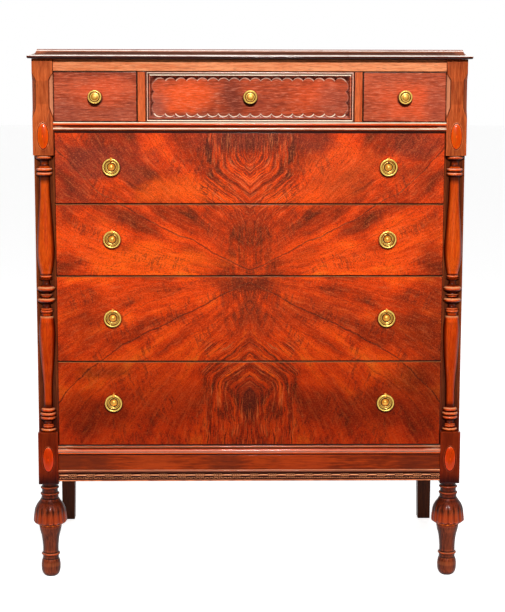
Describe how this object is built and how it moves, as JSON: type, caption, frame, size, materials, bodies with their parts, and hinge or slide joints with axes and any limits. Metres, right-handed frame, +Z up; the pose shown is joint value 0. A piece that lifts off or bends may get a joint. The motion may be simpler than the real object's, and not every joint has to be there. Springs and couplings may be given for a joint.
{
  "type": "dresser",
  "caption": "Tall mahogany chest of drawers with small drawers over long ones, turned and carved front posts and legs, brass knobs and brass ring pulls",
  "frame": {"origin": "on the floor, under the middle of the box that holds the chest", "axes": "+Z up, the drawers open towards -Y, +X to the right as seen from the front"},
  "size_m": [1.0304, 0.558, 1.247],
  "materials": {
    "mahogany": "glossy lacquered mahogany",
    "figured_veneer": "glossy lacquered crotch veneer",
    "dark_mahogany": "dark stained wood",
    "drawer_wood": "unfinished pale hardwood",
    "back_board": "unfinished plywood",
    "brass": "polished brass"
  },
  "bodies": {
    "case": {"top": "mahogany", "top_frame": "mahogany", "waist_frame": "mahogany", "base_frame": "mahogany", "base_rail": "mahogany", "carved_strip": "mahogany", "dust_frame_upper": "drawer_wood", "dust_frame_middle": "drawer_wood", "dust_frame_lower": "drawer_wood", "front_post_left": "mahogany", "front_post_right": "mahogany", "half_column_left": "mahogany", "half_column_right": "mahogany", "back_post_left": "dark_mahogany", "back_post_right": "dark_mahogany", "side_panel_left": "mahogany", "side_panel_right": "mahogany", "back_panel": "back_board", "divider_left": "mahogany", "divider_right": "mahogany"},
    "small_drawer_left": {"small_drawer_left_front": "mahogany", "small_drawer_left_box": "drawer_wood", "small_drawer_left_bottom": "drawer_wood", "knob_left": "brass"},
    "small_drawer_centre": {"small_drawer_centre_front": "mahogany", "small_drawer_centre_box": "drawer_wood", "small_drawer_centre_bottom": "drawer_wood", "knob_centre": "brass"},
    "small_drawer_right": {"small_drawer_right_front": "mahogany", "small_drawer_right_box": "drawer_wood", "small_drawer_right_bottom": "drawer_wood", "knob_right": "brass"},
    "long_drawer_1": {"long_drawer_1_front": "figured_veneer", "long_drawer_1_box": "drawer_wood", "long_drawer_1_bottom": "drawer_wood", "pull_1_left_plate": "brass", "pull_1_right_plate": "brass"},
    "long_drawer_2": {"long_drawer_2_front": "figured_veneer", "long_drawer_2_box": "drawer_wood", "long_drawer_2_bottom": "drawer_wood", "pull_2_left_plate": "brass", "pull_2_right_plate": "brass"},
    "long_drawer_3": {"long_drawer_3_front": "figured_veneer", "long_drawer_3_box": "drawer_wood", "long_drawer_3_bottom": "drawer_wood", "pull_3_left_plate": "brass", "pull_3_right_plate": "brass"},
    "long_drawer_4": {"long_drawer_4_front": "figured_veneer", "long_drawer_4_box": "drawer_wood", "long_drawer_4_bottom": "drawer_wood", "pull_4_left_plate": "brass", "pull_4_right_plate": "brass"},
    "ring_1_left": {"pull_1_left_ring": "brass"},
    "ring_1_right": {"pull_1_right_ring": "brass"},
    "ring_2_left": {"pull_2_left_ring": "brass"},
    "ring_2_right": {"pull_2_right_ring": "brass"},
    "ring_3_left": {"pull_3_left_ring": "brass"},
    "ring_3_right": {"pull_3_right_ring": "brass"},
    "ring_4_left": {"pull_4_left_ring": "brass"},
    "ring_4_right": {"pull_4_right_ring": "brass"}
  },
  "joints": [
    {"name": "small_drawer_left_slide", "type": "slide", "parent": "case", "child": "small_drawer_left", "axis": [0, -1, 0], "range_m": [0, 0.38]},
    {"name": "small_drawer_centre_slide", "type": "slide", "parent": "case", "child": "small_drawer_centre", "axis": [0, -1, 0], "range_m": [0, 0.38]},
    {"name": "small_drawer_right_slide", "type": "slide", "parent": "case", "child": "small_drawer_right", "axis": [0, -1, 0], "range_m": [0, 0.38]},
    {"name": "long_drawer_1_slide", "type": "slide", "parent": "case", "child": "long_drawer_1", "axis": [0, -1, 0], "range_m": [0, 0.38]},
    {"name": "long_drawer_2_slide", "type": "slide", "parent": "case", "child": "long_drawer_2", "axis": [0, -1, 0], "range_m": [0, 0.38]},
    {"name": "long_drawer_3_slide", "type": "slide", "parent": "case", "child": "long_drawer_3", "axis": [0, -1, 0], "range_m": [0, 0.38]},
    {"name": "long_drawer_4_slide", "type": "slide", "parent": "case", "child": "long_drawer_4", "axis": [0, -1, 0], "range_m": [0, 0.38]},
    {"name": "ring_1_left_swing", "type": "hinge", "parent": "long_drawer_1", "child": "ring_1_left", "pos_m": [-0.32, -0.2645, 0.99675], "axis": [-1, 0, 0], "range_deg": [-10, 185]},
    {"name": "ring_1_right_swing", "type": "hinge", "parent": "long_drawer_1", "child": "ring_1_right", "pos_m": [0.32, -0.2645, 0.99675], "axis": [-1, 0, 0], "range_deg": [-10, 185]},
    {"name": "ring_2_left_swing", "type": "hinge", "parent": "long_drawer_2", "child": "ring_2_left", "pos_m": [-0.32, -0.2645, 0.82975], "axis": [-1, 0, 0], "range_deg": [-10, 185]},
    {"name": "ring_2_right_swing", "type": "hinge", "parent": "long_drawer_2", "child": "ring_2_right", "pos_m": [0.32, -0.2645, 0.82975], "axis": [-1, 0, 0], "range_deg": [-10, 185]},
    {"name": "ring_3_left_swing", "type": "hinge", "parent": "long_drawer_3", "child": "ring_3_left", "pos_m": [-0.32, -0.2645, 0.6446], "axis": [-1, 0, 0], "range_deg": [-10, 185]},
    {"name": "ring_3_right_swing", "type": "hinge", "parent": "long_drawer_3", "child": "ring_3_right", "pos_m": [0.32, -0.2645, 0.6446], "axis": [-1, 0, 0], "range_deg": [-10, 185]},
    {"name": "ring_4_left_swing", "type": "hinge", "parent": "long_drawer_4", "child": "ring_4_left", "pos_m": [-0.32, -0.2645, 0.443], "axis": [-1, 0, 0], "range_deg": [-10, 185]},
    {"name": "ring_4_right_swing", "type": "hinge", "parent": "long_drawer_4", "child": "ring_4_right", "pos_m": [0.32, -0.2645, 0.443], "axis": [-1, 0, 0], "range_deg": [-10, 185]}
  ]
}
